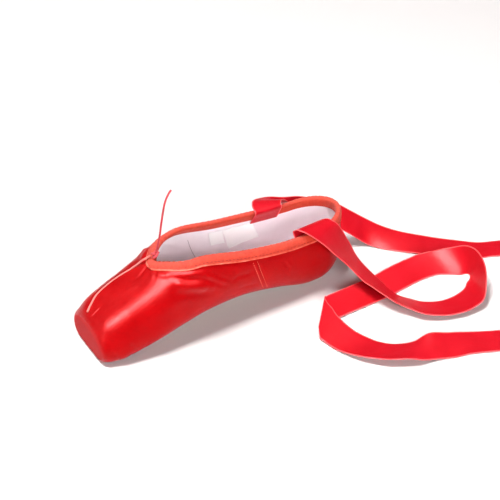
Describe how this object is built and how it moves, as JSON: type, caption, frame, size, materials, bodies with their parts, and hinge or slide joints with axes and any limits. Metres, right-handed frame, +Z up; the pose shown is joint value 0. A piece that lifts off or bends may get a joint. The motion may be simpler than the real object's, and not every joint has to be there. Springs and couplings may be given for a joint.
{
  "type": "pointe shoe",
  "caption": "Red satin pointe shoe with a flat platform, hard box, drawstring collar binding, narrow leather outsole and two loose ankle ribbons.",
  "frame": {"origin": "on the floor under the middle of the shoe's length, without its ribbons and drawstring", "axes": "+X towards the heel, -X towards the platform, +Z up, the shoe's left side towards -Y"},
  "size_m": [0.4818, 0.2304, 0.1208],
  "materials": {
    "satin": "glossy woven satin",
    "casing": "matte cotton bias",
    "sole_leather": "raw suede",
    "sock": "matte cotton",
    "ribbon_satin": "satin",
    "cord": "braided cotton"
  },
  "bodies": {
    "root": {"upper": "satin", "outsole": "sole_leather", "insole": "sock", "binding": "casing", "drawstring_knot": "cord", "drawstring_end_lying": "cord", "drawstring_end_standing": "cord", "ribbon_near": "ribbon_satin", "ribbon_far": "ribbon_satin"}
  },
  "joints": []
}
